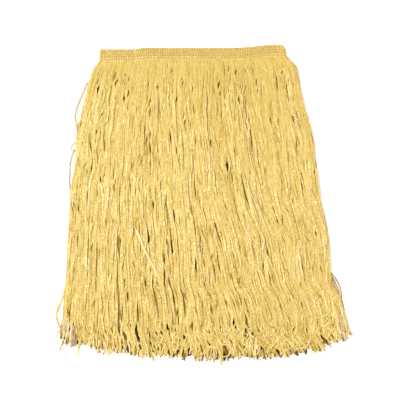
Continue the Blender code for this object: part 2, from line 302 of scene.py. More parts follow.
def sweep_strips(name, path, width, roll, fold, tone, cut=None, thickness=0.00022, rows=2):
    """Folded ribbons along paths over (strip, station).

    A strip's side lies level and square to its path, then turns about the path by roll. The ring has its
    edges half a width out along the side, and its crease is raised by fold, above and one thickness below.
    cut slants the end. What would dip under the floor lies on it instead.
    """
    count, stations = width.shape
    tangent = unit(np.gradient(path, axis=1))
    side = unit(np.cross(tangent, [0.0, 0.0, 1.0]))
    up = np.cross(side, tangent)
    cos, sin = np.cos(roll)[..., None], np.sin(roll)[..., None]
    side, up = side * cos + up * sin, up * cos - side * sin
    out = np.array([-0.5, 0.0, 0.5, 0.0])
    crease = np.array([-0.5, 0.5, -0.5, 0.5])
    half = np.array([0.0, 0.5, 0.0, -0.5]) * thickness
    offset = width[..., None] * out
    height = fold[..., None] * crease + half
    points = path[:, :, None] + offset[..., None] * side[:, :, None] + height[..., None] * up[:, :, None]
    length = np.linalg.norm(np.diff(path, axis=1), axis=-1)
    length = np.concatenate([np.zeros((count, 1)), np.cumsum(length, axis=1)], axis=1)
    if cut is not None:
        points[:, -1] += (cut[:, None] * offset[:, -1])[..., None] * tangent[:, -1, None]
    points[..., 2] = np.maximum(points[..., 2], 0.0003 + half)
    quads, spots = tube_quads(count, stations, 4)
    strip_uv = np.stack(np.broadcast_arrays(offset, length[..., None]), -1).reshape(-1, 2)
    maps = {"strip": strip_uv[quads], "OFBake": column_map(spots, count, rows)}
    tones = np.broadcast_to(tone[:, None, None], (count, stations, 4))
    piece = mesh_from_quads(name, points.reshape(-1, 3), quads, maps, tones)
    print(name, "has", count, "strips and", 2 * len(quads), "triangles")
    return piece


# %% [markdown]
# ## The finish of raffia
# Raffia is a pale straw film with a satin gloss. Each strip has its own tone, fine streaks along it and
# small crinkles that sparkle, stronger in some patches than in others. All of these are patterns on a
# strip's own map, across and along in metres, and the tone comes from the mesh. The crinkles are bump,
# because they are under half a millimetre deep. Just below the band the front strips are a little deeper in
# colour and less glossy. The two inner layers are coloured far darker, which is painted shade for the deep
# pile, and darker still towards the hem, which is painted shade for the little light that reaches in there.


# %% Make the raffia finishes
def raffia_finish(name, pale, straw, deep, crinkle=0.8, root=1.0, shine=0.65, painted_tip_shade=1.0):
    """Raffia: a tone for each strip, blotches and streaks along it, and crinkles over it as bump.

    root is how deep in colour a strip begins at the band. Below 1 it also begins smoother and less glossy.
    The last argument is how dark a strip ends, as painted shade for the little light inside the hem.
    """
    material = bpy.data.materials.new(name)
    material.use_nodes = True
    nodes, links = material.node_tree.nodes, material.node_tree.links
    shader = nodes["Principled BSDF"]

    def node(kind, feeds, **settings):
        """A node whose sockets take what feeds holds, a link from another node or a plain value."""
        made = nodes.new(kind)
        for key, value in settings.items():
            setattr(made, key, value)
        for socket, value in feeds.items():
            if isinstance(value, bpy.types.NodeSocket):
                links.new(value, made.inputs[socket])
            else:
                made.inputs[socket].default_value = value
        return made

    def noise(stretch, detail=2.0):
        """Noise on the strip's map, stretched by stretch, and different on every strip."""
        mapping = node("ShaderNodeMapping", {"Vector": place, "Scale": stretch})
        feeds = {"Vector": mapping.outputs["Vector"], "Scale": 1.0, "Detail": detail}
        return node("ShaderNodeTexNoise", feeds).outputs["Fac"]

    def ranged(value, start, end, low, high):
        """low while value is up to start, high from end on, and evenly between."""
        feeds = {"Value": value, "From Min": start, "From Max": end, "To Min": low, "To Max": high}
        return node("ShaderNodeMapRange", feeds).outputs["Result"]

    def times(first, second):
        """The product of two values."""
        return node("ShaderNodeMath", {0: first, 1: second}, operation="MULTIPLY").outputs["Value"]

    def tinted(colour, amount):
        """A colour times a value. A colour mix has its two colours at inputs 6 and 7 and its result at 2."""
        feeds = {"Factor": 1.0, 6: colour, 7: amount}
        return node("ShaderNodeMix", feeds, data_type="RGBA", blend_type="MULTIPLY").outputs[2]

    strip_map = node("ShaderNodeUVMap", {}, uv_map="strip")
    tone = node("ShaderNodeAttribute", {}, attribute_name="tone").outputs["Fac"]
    parted = node("ShaderNodeSeparateXYZ", {"Vector": strip_map.outputs["UV"]})
    down = parted.outputs["Y"]
    place = node("ShaderNodeCombineXYZ", {"X": parted.outputs["X"], "Y": down, "Z": tone}).outputs["Vector"]
    blotch = noise((60.0, 70.0, 61.0))
    streak = noise((1500.0, 14.0, 61.0))
    crumple = noise((140.0, 150.0, 61.0))
    wrinkle = noise((220.0, 340.0, 61.0))
    patches = ranged(noise((12.0, 9.0, 61.0), 1.0), 0.38, 0.62, 0.55, 1.25)

    mixed = node("ShaderNodeMix", {"Factor": 0.42, "A": tone, "B": blotch}, data_type="FLOAT")
    ramp = node("ShaderNodeValToRGB", {"Fac": mixed.outputs["Result"]})
    first, last = ramp.color_ramp.elements
    first.position, first.color = 0.12, (*deep, 1.0)
    last.position, last.color = 0.88, (*pale, 1.0)
    ramp.color_ramp.elements.new(0.42).color = (*straw, 1.0)
    streaked = tinted(ramp.outputs["Color"], ranged(streak, 0.3, 0.7, 0.91, 1.04))
    # The colour deepens towards the band, and from 0.50 m along the strip it darkens towards the tip as
    # painted shade.
    depth = times(ranged(down, 0.0, 0.30, root, 1.0), ranged(down, 0.50, 0.58, 1.0, painted_tip_shade))
    links.new(tinted(streaked, depth), shader.inputs["Base Color"])

    links.new(ranged(wrinkle, 0.0, 1.0, 0.22, 0.48), shader.inputs["Roughness"])
    shader.inputs["Specular IOR Level"].default_value = shine
    if root < 1.0:
        links.new(ranged(down, 0.0, 0.30, 0.3 * shine, shine), shader.inputs["Specular IOR Level"])
    smoother = 0.6 if root < 1.0 else 1.0
    relief = times(ranged(down, 0.02, 0.30, smoother * crinkle, crinkle), patches)
    fine = node("ShaderNodeBump", {"Strength": relief, "Distance": 0.0018, "Height": wrinkle})
    feeds = {"Strength": relief, "Distance": 0.0055, "Height": crumple, "Normal": fine.outputs["Normal"]}
    links.new(node("ShaderNodeBump", feeds).outputs["Normal"], shader.inputs["Normal"])
    return material


front_raffia = raffia_finish(
    "raffia_front", (0.740, 0.566, 0.180), (0.672, 0.478, 0.117), (0.540, 0.342, 0.048), root=0.88
)
loose_raffia = raffia_finish("raffia_loose", (0.92, 0.74, 0.31), (0.82, 0.61, 0.19), (0.62, 0.42, 0.07))
tangled_raffia = raffia_finish(
    "raffia_tangled", (0.92, 0.75, 0.310), (0.74, 0.54, 0.145), (0.42, 0.255, 0.030)
)
# The inner and middle finishes are painted shade: their colours are much darker than the front's, for the
# shade deep in the pile.
inner_raffia_painted_shade = raffia_finish(
    "raffia_inner_painted_shade", (0.38, 0.23, 0.030), (0.28, 0.165, 0.018), (0.20, 0.11, 0.010), shine=0.15, painted_tip_shade=0.4
)
middle_raffia_painted_shade = raffia_finish(
    "raffia_middle_painted_shade", (0.52, 0.34, 0.060), (0.41, 0.255, 0.038), (0.29, 0.17, 0.02), shine=0.3, painted_tip_shade=0.5
)
back_raffia = raffia_finish(
    "raffia_back", (0.74, 0.58, 0.40), (0.66, 0.48, 0.27), (0.54, 0.37, 0.18), shine=0.4
)
shaded_raffia = raffia_finish(
    "raffia_shaded", (0.74, 0.59, 0.38), (0.54, 0.40, 0.23), (0.38, 0.26, 0.12), shine=0.4
)
dull_raffia = raffia_finish(
    "raffia_dull", (0.70, 0.61, 0.42), (0.62, 0.53, 0.33), (0.52, 0.435, 0.24), shine=0.4
)
# The pale finish is partly the strips' own paler colour and partly painted highlight, for bright glints on
# strips that lie on top.
pale_and_highlight_raffia = raffia_finish("raffia_pale_and_highlight", (0.82, 0.66, 0.30), (0.78, 0.60, 0.22), (0.73, 0.53, 0.16), 0.7)
curled_raffia = raffia_finish(
    "raffia_curled", (0.79, 0.62, 0.24), (0.74, 0.55, 0.175), (0.68, 0.48, 0.13), shine=0.5
)
band_raffia = raffia_finish(
    "raffia_band", (0.725, 0.546, 0.184), (0.665, 0.480, 0.133), (0.59, 0.402, 0.087), 0.4
)
# The band's wall shows only between the stitches, and this finish is painted shade: darker than the stitches,
# for the shade in the gaps between them.
groove_painted_shade_raffia = raffia_finish(
    "raffia_groove_painted_shade", (0.70, 0.505, 0.134), (0.565, 0.382, 0.090), (0.43, 0.276, 0.050), 0.4
)
print("Made 12 raffia finishes")

# %% [markdown]
# ## Where the fringe parts
# Seen from above, the front of the fringe is a bright mat cut by dark, lens-shaped slits, where two locks
# have moved apart and the eye falls through to the back. Random strips alone would leave only faint gaps.
# So the slits are laid out first, and every strip near one is pushed aside. Most lie at random, closer
# together below the band and at the hem. Those that the eye finds first are placed one by one.

# %% Lay out the slits
slit_rng = np.random.default_rng(505)
SLITS = [
    {"count": 680, "along": (0.03, 1.0), "length": (0.007, 0.022), "push": (0.0010, 0.0027), "fade": 0.0045},
    {"count": 110, "along": (0.03, 0.22), "length": (0.006, 0.014), "push": (0.0018, 0.0034), "fade": 0.0045},
    {"count": 124, "along": (0.90, 0.99), "length": (0.006, 0.012), "push": (0.0022, 0.0050), "fade": 0.0055},
    {"count": 26, "along": (0.97, 1.02), "length": (0.016, 0.036), "push": (0.0016, 0.0030), "fade": 0.007},
]
SLIT_KEYS = ("x", "along", "length", "push", "fade")
SLIT_EDGE = 0.0009

# The drop, the x and the length of each slit that is placed one by one, in millimetres
NAMED_SLITS = [
    (54, 113, 9), (39, 130, 5), (58, 92, 7), (84, 96, 6), (101, 109, 5), (101, 139, 8),
    (58, 182, 4), (66, 192, 5), (60, 197, 4), (115, 203, 6), (86, 216, 5), (120, -194, 5),
    (138, -196, 6), (122, -159, 8), (60, -144, 6), (109, -145, 9), (52, -47, 6), (58, -9, 11),
    (92, -64, 7), (109, -49, 9), (92, 103, 10), (112, 98, 8), (80, 136, 9), (60, 189, 7),
    (94, 202, 8), (184, -204, 7), (204, -206, 7), (190, -127, 11), (188, -91, 9), (246, -127, 10),
    (294, -147, 13), (160, -16, 7), (194, 7, 12), (260, -217, 12), (286, -196, 10), (293, -102, 8),
    (395, -77, 10), (259, -40, 13), (267, 27, 9), (254, 73, 10), (362, 24, 12), (382, 18, 11),
    (430, 21, 8), (460, 25, 10), (452, -61, 12), (387, -126, 10), (332, 142, 10), (329, 213, 10),
    (373, 179, 12), (422, 127, 12), (449, 205, 12), (398, 262, 8), (535, 246, 10), (548, 46, 9),
    (528, -139, 12), (569, -90, 12), (514, -77, 10), (597, -138, 10), (619, -83, 12), (590, 87, 10),
    (601, 243, 9), (618, 202, 9), (617, 277, 10), (422, 260, 6), (444, 249, 12), (454, 266, 7),
    (473, 273, 8), (516, 264, 14), (530, 280, 8), (550, 272, 8), (574, 251, 12), (595, 258, 8),
    (526, 224, 10), (550, 232, 10), (558, 191, 13), (561, 173, 8), (567, 119, 9), (586, 143, 8),
    (609, 88, 8), (627, 83, 7), (631, 48, 6), (633, 34, 10), (629, 242, 8), (634, 204, 10),
    (636, 160, 6), (642, 148, 8),
]
NAMED_PUSH, NAMED_FADE = 0.0036, 0.0050
slits = {"share": [], "along": [], "length": [], "push": [], "fade": []}
for kind in SLITS:
    count = kind["count"]
    slits["share"].append((np.arange(count) + slit_rng.uniform(0.0, 1.0, count)) / count)
    for key in ("along", "length", "push"):
        slits[key].append(slit_rng.uniform(*kind[key], count))
    slits["fade"].append(np.full(count, kind["fade"]))
slits = {key: np.concatenate(parts) for key, parts in slits.items()}
slit_drop = BAND_HEIGHT + slits["along"] * FRINGE_LENGTH
slit_left, slit_right = outline_reach("left", slit_drop), outline_reach("right", slit_drop)
slits["x"] = -slit_left + (slit_left + slit_right) * (0.015 + 0.97 * slits["share"])
named = dict(zip(("drop", "x", "length"), np.array(NAMED_SLITS).T / 1000.0))
named["along"] = (named["drop"] - BAND_HEIGHT) / FRINGE_LENGTH
named["push"] = np.full(len(NAMED_SLITS), NAMED_PUSH)
named["fade"] = np.full(len(NAMED_SLITS), NAMED_FADE)
slits = {key: np.append(slits[key], named[key]) for key in SLIT_KEYS}


def parted_at_slits(x, along):
    """x pushed away from each slit: most beside its middle, fading across and towards its ends.

    A slit leans outwards as the strips do there, more so the farther it is from the middle.
    """
    pushed = np.zeros_like(x)
    for place, middle, length, push, fade in zip(*(slits[key] for key in SLIT_KEYS)):
        lengthwise = np.exp(-(((along - middle) * FRINGE_LENGTH / length) ** 2))
        slope = 0.10 + 0.45 * place + 0.25 * max(place, 0.0) * middle
        lean = place + (along - middle) * FRINGE_LENGTH * slope
        across = (x - lean) / SLIT_EDGE
        pushed += push * lengthwise * np.tanh(across) * np.exp(-np.abs(x - lean) / fade)
    return x + pushed


print("Laid out", slits["x"].size, "slits")

# %% [markdown]
# ## The fringe
# Each strip keeps to a place between the locks' lines. It drifts a little, and some strips cross several
# locks. The strips of a lock draw together, the lock's middle stands higher than its sides, and the ends
# are cut raggedly.


# %% Lay a layer of strips
def waves(rng, count, along, cycles, size):
    """Smooth noise along each strip: three sines with random phases and about cycles turns each."""
    total = np.zeros_like(along)
    for weight in (1.0, 0.7, 0.5):
        turns = cycles * rng.uniform(0.6, 1.6, (count, 1))
        total += weight * np.sin(2.0 * math.pi * (turns * along + rng.uniform(0.0, 1.0, (count, 1))))
    return size * total / 1.3


def fanned(x, along):
    """x where the strips still hang straight below the band and spread only towards the sides.

    Of the outline's width beyond the waist, a strip takes a share: its own place across to a power. The
    power falls from FAN at the band to 0 at 0.7 along, and from there x stays as it is.
    """
    reach = reach_beside(x, along)
    outward = np.abs(x) / reach
    power = FAN * (1.0 - smooth(along / 0.7))
    hung = HALF_WAIST + (reach - HALF_WAIST) * np.clip(outward, 0.0, 1.0) ** power
    return x * np.where(outward < 1.0, hung / reach, 1.0)


def lay_strips(name, number, count, stations, seed, width, raffia, crossing, gather, top=0.95, rows=2):
    """One layer, or part of one: strips that follow the locks' lines, inside the layer's share of the pile.

    They fan out below the band, and lower down those right of the middle lean further to the right.
    """
    rng = np.random.default_rng(seed)
    locks = LAYERS[number]["locks"]
    lines = lock_lines(number)
    place = (np.arange(count) + rng.uniform(0.0, 1.0, count)) / count * locks
    across = np.clip(2.0 * place / locks - 1.0, -1.0, 1.0)
    lock_cut = rng.uniform(-0.5, 0.5, locks + 1)[place.astype(int)]
    cut_length = FRINGE_LENGTH - HEM_RISE * across**2 - HEM_TILT * across
    cut_length = cut_length + 0.002 + 0.018 * lock_cut + rng.uniform(-0.5, 0.5, count) * 0.014
    cut_length = cut_length + 0.009 * (rng.uniform(0.0, 1.0, count) < 0.08) * (number == 3)
    along = np.linspace(0.0, 1.0, stations)[None, :] * (cut_length / FRINGE_LENGTH)[:, None]

    # The place among the locks: a slow drift, some crossings, and the pull towards the lock's middle
    scale = locks / 100.0
    path_place = place[:, None] + waves(rng, count, along, 1.6, 0.55 * scale) * smooth(along / 0.2)
    crosses = rng.uniform(0.0, 1.0, (count, 1)) < crossing
    reach = rng.uniform(1.0, 4.5, (count, 1)) * rng.choice([-1.0, 1.0], (count, 1)) * scale
    start = rng.uniform(0.0, 0.75, (count, 1))
    run = rng.uniform(0.12, 0.45, (count, 1))
    path_place = path_place + crosses * reach * smooth((along - start) / run)
    path_place = np.abs(path_place)
    path_place = locks - np.abs(locks - path_place)
    hold = gather * smooth(along / 0.12) + 0.5 * smooth((along - 0.84) / 0.14)
    held = path_place + hold / (2.0 * math.pi) * np.sin(2.0 * math.pi * path_place)
    share = np.clip(held / locks, 0.0, 1.0)
    lower = np.clip((along - 0.35) / 0.65, 0.0, 1.0) ** 1.6
    held = held + RIGHT_LEAN * locks * np.sin(math.pi * share**2) * lower
    x = read_grid(lines, held, along)
    x = fanned(x, along)
    x = x + waves(rng, count, along, 5.0, 0.0007) * smooth(along / 0.06)
    near_tip = smooth((along * FRINGE_LENGTH / cut_length[:, None] - 0.86) / 0.2)
    x = x + rng.normal(0.0, 0.012, (count, 1)) * near_tip**1.6
    if number >= 2:
        x = parted_at_slits(x, along)

    # The height in the layer: the lock's middle stands up, and a strip rises and sinks slowly
    level = rng.uniform(0.15, 0.85, (count, 1)) + waves(rng, count, along, 2.2, 0.16)
    level = level + 0.22 * np.cos(2.0 * math.pi * (path_place - 0.5))
    room = layer_room(x, along)
    z = room * (number + 0.08 + (top - 0.08) * np.clip(level, 0.0, 1.0))
    z = z + waves(rng, count, along, 6.0, 0.00035) * smooth(along / 0.1)
    root_x = x[:, :1]
    upper = (root_x > OVER_END) & (number >= 2)
    wall = BAND_THICKNESS + SEAM_GAP
    climb = climb_at(root_x) * upper
    root_z = BAND_THICKNESS * rng.uniform(0.8, 1.0, (count, 1)) + wall * (number >= 2) + climb
    z = root_z + (z - root_z) * smooth(along / 0.04)
    z = np.maximum(z, 0.0006)
    shift = np.where(upper, over_shift(x), under_shift(x)) * (1.0 - smooth(along / 0.4))
    y = shift - BAND_HEIGHT + 0.004 - along * (FRINGE_LENGTH + 0.004)
    path = np.stack([x + WAIST_X, y + TOP_Y, z], -1)

    # The ribbon: its width, its twist and its crease
    spread = rng.lognormal(0.0, 0.28, (count, 1)) * width
    ribbon = np.clip(spread, 0.0016, 0.0072) * (1.0 + waves(rng, count, along, 4.0, 0.13))
    ribbon = ribbon * (0.58 + 0.42 * smooth(along / 0.22))
    calm = 0.3 + 0.65 * smooth((along - 0.02) / 0.2) + 0.45 * smooth((along - 0.35) / 0.4)
    roll = waves(rng, count, along, 5.0, 0.19) * calm
    turn_at = rng.uniform(0.22, 1.4, (count, 1))
    roll = roll + math.pi * rng.choice([-1.0, 1.0], (count, 1)) * smooth((along - turn_at) / 0.07)
    roll = roll + rng.normal(0.0, 0.7, (count, 1)) * near_tip
    ribbon = ribbon * (1.0 - 0.3 * near_tip)
    fold = ribbon * (0.09 + waves(rng, count, along, 6.0, 0.085)) * calm
    piece = sweep_strips(
        name, path, ribbon, roll, fold, rng.beta(2.2, 2.2, count), rng.uniform(-0.7, 0.7, count), rows=rows
    )
    piece.data.materials.append(raffia)
    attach(piece, "root")
    return piece


# %% Lay the four layers, from the surface up
back_outer = lay_strips("strips_back_outer", 0, 260, 37, 11, 0.0046, back_raffia, 0.2, 0.3)
back_inner = lay_strips("strips_back_inner", 1, 290, 37, 12, 0.0046, inner_raffia_painted_shade, 0.2, 0.3)
front_inner = lay_strips("strips_front_inner", 2, 380, 45, 13, 0.0045, middle_raffia_painted_shade, 0.25, 0.35)
front_outer_a = lay_strips("strips_front_outer_a", 3, 200, 125, 24, 0.0056, front_raffia, 0.2, 0.5)
front_outer_b = lay_strips("strips_front_outer_b", 3, 200, 125, 25, 0.0044, front_raffia, 0.3, 0.5, 1.1)
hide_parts("fringe_back_outer")
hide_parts("fringe_back_inner")
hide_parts("fringe_front_inner")
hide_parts("fringe_front_outer")

# %% [markdown]
# ## The waistband
# The band is a ribbon of raffia bound by five rows of chain stitches. It is wrapped once round the waist
# and laid flat, so it has a back, two folds, a front, and an overlap on the left. Its wall is one profile
# carried along that path.


# %% The band's path and wall
BACK_LEVEL = BAND_THICKNESS / 2
FRONT_LEVEL = BACK_LEVEL + BAND_THICKNESS + SEAM_GAP
FOLD_RADIUS = (FRONT_LEVEL - BACK_LEVEL) / 2
FOLD_X = HALF_WAIST - FOLD_RADIUS - BAND_THICKNESS / 2


def band_path(step):
    """The band's middle line from its lower end to its upper end.

    It is a straight run to the left fold, a half circle, the back, a half circle, and the front, which
    climbs over the lower end. Returns x, z, the outward normal, the shift up and the share of relief.
    """
    def run(start, end):
        return np.linspace(start, end, max(3, int(abs(end - start) / step)), endpoint=False)

    turn = np.linspace(0.0, math.pi, 10, endpoint=False)
    lower, back = run(UNDER_END, -FOLD_X), run(-FOLD_X, FOLD_X)
    front = np.append(run(FOLD_X, OVER_END), OVER_END)
    middle = BACK_LEVEL + FOLD_RADIUS
    x = [lower, -FOLD_X - FOLD_RADIUS * np.sin(turn), back, FOLD_X + FOLD_RADIUS * np.sin(turn), front]
    z = [
        np.full_like(lower, FRONT_LEVEL),
        middle + FOLD_RADIUS * np.cos(turn),
        np.full_like(back, BACK_LEVEL),
        middle - FOLD_RADIUS * np.cos(turn),
        FRONT_LEVEL + climb_at(front),
    ]
    out_x = [0 * lower, -np.sin(turn), 0 * back, np.sin(turn), 0 * front]
    out_z = [0 * lower + 1.0, np.cos(turn), 0 * back - 1.0, -np.cos(turn), 0 * front + 1.0]
    shift = [under_shift(np.clip(part, -FOLD_X, FOLD_X)) for part in x[:4]] + [over_shift(front)]
    out_z = np.concatenate(out_z)
    fullness = np.ones(out_z.size)
    fullness[-front.size :] = 0.15 + 0.85 * smooth((front - OVER_END) / 0.006)
    return {
        "x": np.concatenate(x),
        "z": np.concatenate(z),
        "out_x": np.concatenate(out_x),
        "out_z": out_z,
        "shift": np.concatenate(shift),
        "fullness": fullness,
        "relief": (1.0 + out_z) / 2.0,
    }


def on_band(path, station, up, outward):
    """Points on the band: up is 0 at its lower edge and 1 at its upper one, outward is from the middle line.

    At the right end the upper edge is drawn in by the cube of up, which rounds the corner. The cut end that
    lies on top is pressed thin over its last few millimetres.
    """
    outward = np.where(outward > 0.0, outward * path["fullness"][station], outward)
    x = path["x"][station] + outward * path["out_x"][station]
    near_corner = smooth((path["x"][station] - CORNER_START) / (HALF_WAIST - CORNER_START))
    x = x - CORNER_ROUNDING * near_corner * np.clip(up, 0.0, 1.0) ** 3
    y = path["shift"][station] - BAND_HEIGHT * (1.0 - up)
    z = path["z"][station] + outward * path["out_z"][station]
    return np.stack([x + WAIST_X, y + TOP_Y, z], -1)


path = band_path(0.002)
steps = path["x"].size
line = np.stack([path["x"], path["z"]], -1)
path["length"] = np.concatenate([[0.0], np.cumsum(np.linalg.norm(np.diff(line, axis=0), axis=1))])
BAND_LENGTH = path["length"][-1]

outer_up = np.linspace(0.0, 1.0, 41)
ridge = 0.5 - 0.5 * np.cos(2.0 * math.pi * CHAIN_ROWS * outer_up)
inner_up = np.linspace(1.0, 0.0, 5)
ring_up = np.concatenate([outer_up, inner_up])
ring_out = np.concatenate([BAND_THICKNESS / 2 - 0.0007 + 0.0003 * ridge, np.full(5, -BAND_THICKNESS / 2)])
ring = ring_up.size
station = np.arange(steps)[:, None]
relief = path["relief"][:, None]
flat_out = np.where(ring_out > 0, BAND_THICKNESS / 2, -BAND_THICKNESS / 2)
wall = on_band(path, station, ring_up[None, :], ring_out * relief + flat_out * (1.0 - relief))
s, k = np.meshgrid(np.arange(steps - 1), np.arange(ring), indexing="ij")
after = (k + 1) % ring
walls = np.stack([s * ring + k, s * ring + after, (s + 1) * ring + after, (s + 1) * ring + k], -1)
band_faces = walls.reshape(-1, 4)
uv = np.stack(np.broadcast_arrays(path["length"][:, None], ring_up[None, :] * BAND_HEIGHT), -1)
# The wall's tone makes the painted shade between the stitches deepest over the band's upper half and fade
# towards its lower edge.
tone = np.broadcast_to(1.0 - 0.9 * smooth(ring_up / 0.5), (steps, ring))
waistband = mesh_from_quads(
    "waistband_wall", wall.reshape(-1, 3), band_faces, {"strip": uv.reshape(-1, 2)[band_faces]}, tone
)


def close_ends(piece):
    """Fills the open ends of a mesh and turns all its faces outwards."""
    bm = bmesh.new()
    bm.from_mesh(piece.data)
    edges = [edge for edge in bm.edges if edge.is_boundary]
    bmesh.ops.holes_fill(bm, edges=edges, sides=0)
    bmesh.ops.recalc_face_normals(bm, faces=bm.faces)
    bm.to_mesh(piece.data)
    bm.free()


close_ends(waistband)
waistband.data.materials.append(groove_painted_shade_raffia)
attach(waistband, "root")
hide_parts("waistband")
print("The band is", round(1000 * BAND_LENGTH), "mm long when unrolled")

# %% [markdown]
# ## The chain stitches
# Every stitch is a V of two plump legs, and the legs of one row sit in the row below. From a step away the
# rows read as short upright bars with dark dots between them. Each leg is a small tapered tube of four
# sides, placed by its column and row.

# %% Stitch the rows
LEG_STATIONS, STITCH_LENGTH = 6, 0.0050
columns = round(BAND_LENGTH / STITCH_LENGTH)
STITCH_PITCH = BAND_LENGTH / columns
stitch_rng = np.random.default_rng(77)
column, row, hand = np.meshgrid(np.arange(columns), np.arange(CHAIN_ROWS), [-1.0, 1.0], indexing="ij")
column, row, hand = (part.ravel()[:, None] for part in (column, row, hand))
legs = column.size
t = np.linspace(0.0, 1.0, LEG_STATIONS)[None, :]
jitter = stitch_rng.normal(0.0, 0.00018, (legs, 1))
phase = 2.0 * math.pi * stitch_rng.uniform(0.0, 1.0, CHAIN_ROWS)[row]
drift = 0.45 * STITCH_PITCH * np.sin(phase + column * (0.055 + 0.012 * row))
opening = hand * STITCH_PITCH * (0.10 + 0.14 * smooth(t * 1.15))
distance = (column + 0.5) * STITCH_PITCH + drift + jitter + opening
row_height = BAND_HEIGHT / CHAIN_ROWS
up = (row + 0.02 + 1.02 * t) * row_height / BAND_HEIGHT
up = up + stitch_rng.normal(0.0, 0.006, (legs, 1))
bulge = np.sin(math.pi * t) ** 0.7
outward = BAND_THICKNESS / 2 - 0.0005 + 0.0009 * bulge
outward = outward + stitch_rng.normal(0.0, 0.00008, (legs, 1))
station_at = np.interp(distance, path["length"], np.arange(steps))


def mixed_on_band(station_at, up, outward):
    """on_band between two stations, mixed evenly from the one before and the one after."""
    before = np.clip(station_at.astype(int), 0, steps - 2)
    share = (station_at - before)[..., None]
    return on_band(path, before, up, outward) * (1.0 - share) + on_band(path, before + 1, up, outward) * share


centre = mixed_on_band(station_at, up, outward)
above = mixed_on_band(station_at, up, outward + 0.001)
normal = unit(above - centre)
tangent = unit(np.gradient(centre, axis=1))
leg_side = unit(np.cross(tangent, normal))
fullness = stitch_rng.uniform(0.85, 1.2, (legs, 1)) * np.array([1.5, 1.25, 1.0, 1.0, 1.0])[row]
half_width = 0.00094 * (0.5 + 0.5 * bulge) * fullness
half_height = 0.00048 * (0.5 + 0.5 * bulge)
angles = np.array([135.0, 45.0, -45.0, -135.0]) * math.pi / 180.0
ring_side = (np.cos(angles) * 1.35)[None, None, :, None] * half_width[..., None, None] * leg_side[:, :, None]
ring_rise = (np.sin(angles) * 1.35)[None, None, :, None] * half_height[..., None, None] * normal[:, :, None]
leg_points = centre[:, :, None] + ring_side + ring_rise
leg_points[..., 2] = np.maximum(leg_points[..., 2], 0.00005)
leg_quads, leg_spots = tube_quads(legs, LEG_STATIONS, 4)
leg_uv = np.stack(
    np.broadcast_arrays(np.cos(angles) * 0.001, row.reshape(-1, 1, 1) * 0.02 + t[..., None] * row_height), -1
).reshape(-1, 2)
leg_tone = np.broadcast_to(stitch_rng.uniform(0.15, 1.0, (legs, 1, 1)), (legs, LEG_STATIONS, 4))
stitches = mesh_from_quads(
    "chain_stitches",
    leg_points.reshape(-1, 3),
    leg_quads,
    {"strip": leg_uv[leg_quads], "OFBake": column_map(leg_spots, legs, 40)},
    leg_tone,
)
stitches.data.materials.append(band_raffia)
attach(stitches, "root")
print("Stitched", legs // 2, "stitches with", 2 * len(leg_quads), "triangles")

# %% [markdown]
# ## Strays and wisps
# A few strips leave the fringe at its sides, some yellow, some dull, and some in the shade. Others lie
# across its front, curl up just under the band or lie dull in the hem's lower corners. All these strays are
# placed one by one, because the eye knows them, each as a smooth curve through a few points. The short
# tangled ends along the hem and the thin split fibres over the front are scattered at random.

# %% Lay the strays
# Each stray is listed as the drops of its points, then their x, in millimetres
YELLOW_STRAYS = [
    ((440, 518, 559, 573, 594, 610), (-258, -274, -289, -292, -286, -276)),
    ((500, 560, 595, 620), (-258, -270, -281, -296)),
    ((520, 580, 620, 648), (-255, -266, -275, -286)),
    ((540, 600, 635, 658), (-230, -238, -243, -249)),
    ((540, 590, 610, 614), (318, 329, 336, 340)),
]
DULL_STRAYS = [
    ((74, 102, 127, 150, 171, 192), (-226, -238, -248, -252, -248, -242)),
    ((185, 196, 205, 215, 219, 217), (-236, -243, -256, -261, -256, -247)),
    ((217, 242, 274, 303, 340), (-254, -262, -264, -263, -260)),
]
SHADED_STRAYS = [
    ((479, 500, 517, 534, 560, 592), (294, 310, 316, 317, 321, 327)),
    ((480, 501, 518, 535, 561, 593), (293, 308, 314, 315, 319, 325)),
    ((482, 503, 520, 540, 566, 598), (292, 305, 311, 313, 318, 325)),
    ((484, 504, 522, 544, 572, 603), (290, 300, 306, 309, 316, 325)),
    ((488, 508, 526, 550, 578, 608), (288, 296, 301, 306, 315, 326)),
    ((540, 566, 590, 612), (312, 320, 328, 333)),
    ((550, 574, 598, 616), (308, 316, 323, 328)),
    ((560, 582, 604, 622), (304, 312, 318, 322)),
]
CORNER_STRAYS = [
    ((590, 606, 622, 638), (-250, -252, -254, -256)),
    ((588, 603, 618, 632), (-259, -260, -261, -263)),
    ((592, 608, 624, 640), (-255, -257, -259, -261)),
    ((586, 602, 618, 634), (-263, -267, -271, -275)),
    ((598, 612, 626, 640), (-247, -248, -249, -250)),
    ((574, 590, 606, 622), (-268, -272, -275, -278)),
    ((590, 600, 611, 622), (-280, -281, -282, -284)),
    ((548, 572, 596, 622), (314.5, 317.5, 321.5, 325)),
    ((545, 566, 588, 610), (311, 315, 319, 322.5)),
    ((575, 592, 608, 624), (306, 310, 314, 317)),
]
